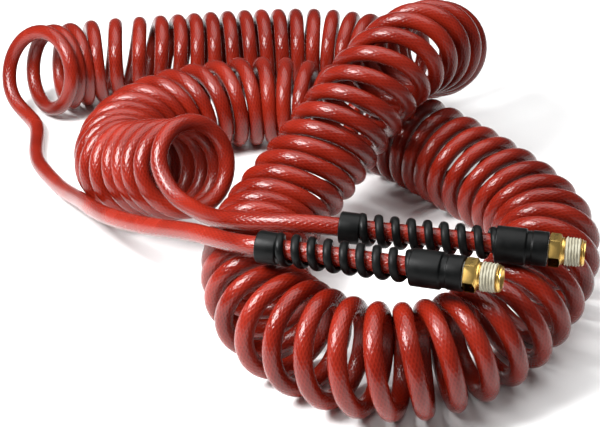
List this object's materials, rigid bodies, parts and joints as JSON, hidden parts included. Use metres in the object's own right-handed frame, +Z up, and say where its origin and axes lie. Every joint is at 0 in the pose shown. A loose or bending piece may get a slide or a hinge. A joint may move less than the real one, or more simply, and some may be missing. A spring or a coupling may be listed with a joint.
{
  "type": "coiled air hose",
  "caption": "Self-storing curly air hose laid in a loop, with a spring bend restrictor and a swivelling male pipe fitting at each end.",
  "frame": {"origin": "middle of the laid-out hose's footprint, on the surface it lies on", "axes": "+Z up; the near bottom loop of the coil is towards -Y, and both male fittings point along +X"},
  "size_m": [0.3597, 0.4376, 0.1151],
  "materials": {
    "hose": "gloss",
    "restrictor_rubber": "satin",
    "brass": "satin",
    "o_ring_rubber": "satin",
    "nylon": "satin",
    "spring_steel": "satin",
    "sealant": "matte"
  },
  "bodies": {
    "hose_assembly": {"coil_rear_run": "hose", "coil_rise_bend": "hose", "coil_crossover": "hose", "coil_left_bend": "hose", "coil_front_run": "hose", "coil_right_bend": "hose", "coil_under_run": "hose", "coil_middle_run": "hose", "coil_end_bend": "hose", "hose_tail_a": "hose", "hose_tail_b": "hose", "hose_end_a": "hose", "hose_end_b": "hose", "bend_restrictor_a": "restrictor_rubber", "swivel_stem_a": "brass", "ferrule_a": "brass", "o_ring_a": "o_ring_rubber", "thrust_washer_a": "nylon", "retaining_ring_a": "spring_steel", "bend_restrictor_b": "restrictor_rubber", "swivel_stem_b": "brass", "ferrule_b": "brass", "o_ring_b": "o_ring_rubber", "thrust_washer_b": "nylon", "retaining_ring_b": "spring_steel"},
    "swivel_a": {"swivel_body_a": "brass", "thread_sealant_a": "sealant"},
    "swivel_b": {"swivel_body_b": "brass", "thread_sealant_b": "sealant"}
  },
  "joints": [
    {"name": "swivel_a_turn", "type": "hinge", "parent": "hose_assembly", "child": "swivel_a", "pos_m": [0.09801, -0.18183, 0.07172], "axis": [0.9435, -0.3286, 0.0436], "continuous": true},
    {"name": "swivel_b_turn", "type": "hinge", "parent": "hose_assembly", "child": "swivel_b", "pos_m": [0.14153, -0.15076, 0.0671], "axis": [0.9767, -0.2147, 0], "continuous": true}
  ]
}
